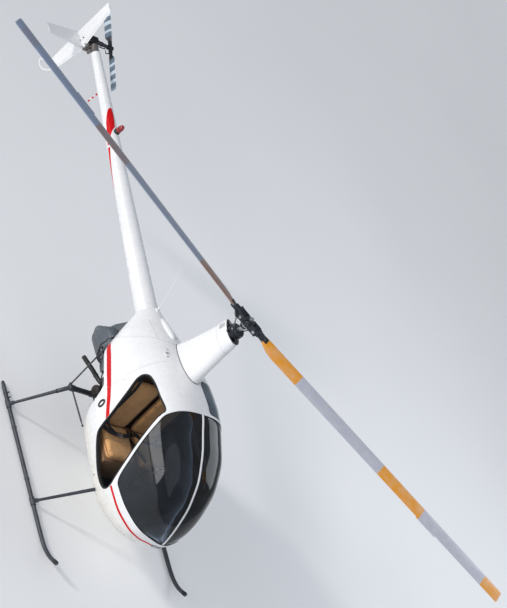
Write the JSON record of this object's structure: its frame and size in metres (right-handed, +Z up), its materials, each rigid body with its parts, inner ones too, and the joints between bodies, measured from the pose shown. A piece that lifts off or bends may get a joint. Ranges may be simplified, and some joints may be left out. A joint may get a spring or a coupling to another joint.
{
  "type": "light two-seat helicopter",
  "caption": "Light two-seat helicopter on skids with a turning main rotor, turning tail rotor, one hinged door and an open doorway",
  "frame": {"origin": "on the ground at the middle of the overall outline, rotor as pictured", "axes": "+Z up, -Y to the nose, +Y to the tail, +X to the helicopter's left"},
  "size_m": [5.263, 7.8113, 2.7946],
  "materials": {
    "white_paint": "gloss",
    "slate_paint": "satin",
    "black_trim": "matt",
    "smoked_glass": "smoked, clear",
    "tan_cloth": "woven",
    "grey_metal": "satin",
    "engine_metal": "rough cast",
    "blade_paint": "satin",
    "red_paint": "gloss",
    "grey_lining": "matt"
  },
  "bodies": {
    "airframe": {"cabin_lower_shell": "white_paint", "cabin_roof": "white_paint", "aft_cowl": "white_paint", "windscreen_right": "smoked_glass", "windscreen_left": "smoked_glass", "windscreen_strip": "white_paint", "hinge_bracket_low": "white_paint", "hinge_bracket_high": "white_paint", "cabin_floor": "grey_lining", "cabin_rear_wall": "grey_lining", "seat_base": "grey_lining", "seat_cushion_right": "tan_cloth", "seat_cushion_left": "tan_cloth", "seat_back_right": "tan_cloth", "seat_back_left": "tan_cloth", "instrument_pedestal": "black_trim", "cyclic_stick": "black_trim", "mast_fairing": "white_paint", "swashplate_fixed": "black_trim", "tail_cone": "white_paint", "tail_gearbox": "grey_metal", "tail_shaft": "grey_metal", "upper_fin": "white_paint", "lower_fin": "white_paint", "stabiliser": "white_paint", "tail_guard": "white_paint", "tail_bracket": "slate_paint", "aft_cross_tube": "slate_paint", "skid_right": "slate_paint", "skid_left": "slate_paint", "leg_aft_right": "slate_paint", "leg_aft_left": "slate_paint", "leg_front_right": "slate_paint", "leg_front_left": "slate_paint", "engine_block": "engine_metal", "fan_housing": "grey_metal", "muffler": "engine_metal", "exhaust_pipe": "black_trim", "brace_low_right": "slate_paint", "brace_low_left": "slate_paint", "brace_high_right": "slate_paint", "brace_high_left": "slate_paint", "beacon": "red_paint", "whip_aerial": "white_paint", "tail_rod": "red_paint"},
    "main_rotor": {"rotor_mast": "grey_metal", "swashplate_turning": "black_trim", "rotor_hub": "slate_paint", "main_blade_front": "blade_paint", "main_blade_rear": "blade_paint"},
    "tail_rotor": {"tail_rotor_hub": "slate_paint", "tail_blade_aft": "blade_paint", "tail_blade_front": "blade_paint"},
    "left_door": {"left_door": "white_paint", "left_door_pane": "smoked_glass"}
  },
  "joints": [
    {"name": "main_rotor_spin", "type": "hinge", "parent": "airframe", "child": "main_rotor", "pos_m": [0, -1.0205, 2.593], "axis": [0, 0, 1], "continuous": true},
    {"name": "tail_rotor_spin", "type": "hinge", "parent": "airframe", "child": "tail_rotor", "pos_m": [0.264, 3.3735, 1.708], "axis": [1, 0, 0], "continuous": true},
    {"name": "left_door_hinge", "type": "hinge", "parent": "airframe", "child": "left_door", "pos_m": [0.575, -1.7955, 1.1], "axis": [0, -0.4299, -0.9029], "range_deg": [0, 75]}
  ],
  "couplings": [
    {"joint": "tail_rotor_spin", "follows": "main_rotor_spin", "ratio": -6.409}
  ]
}
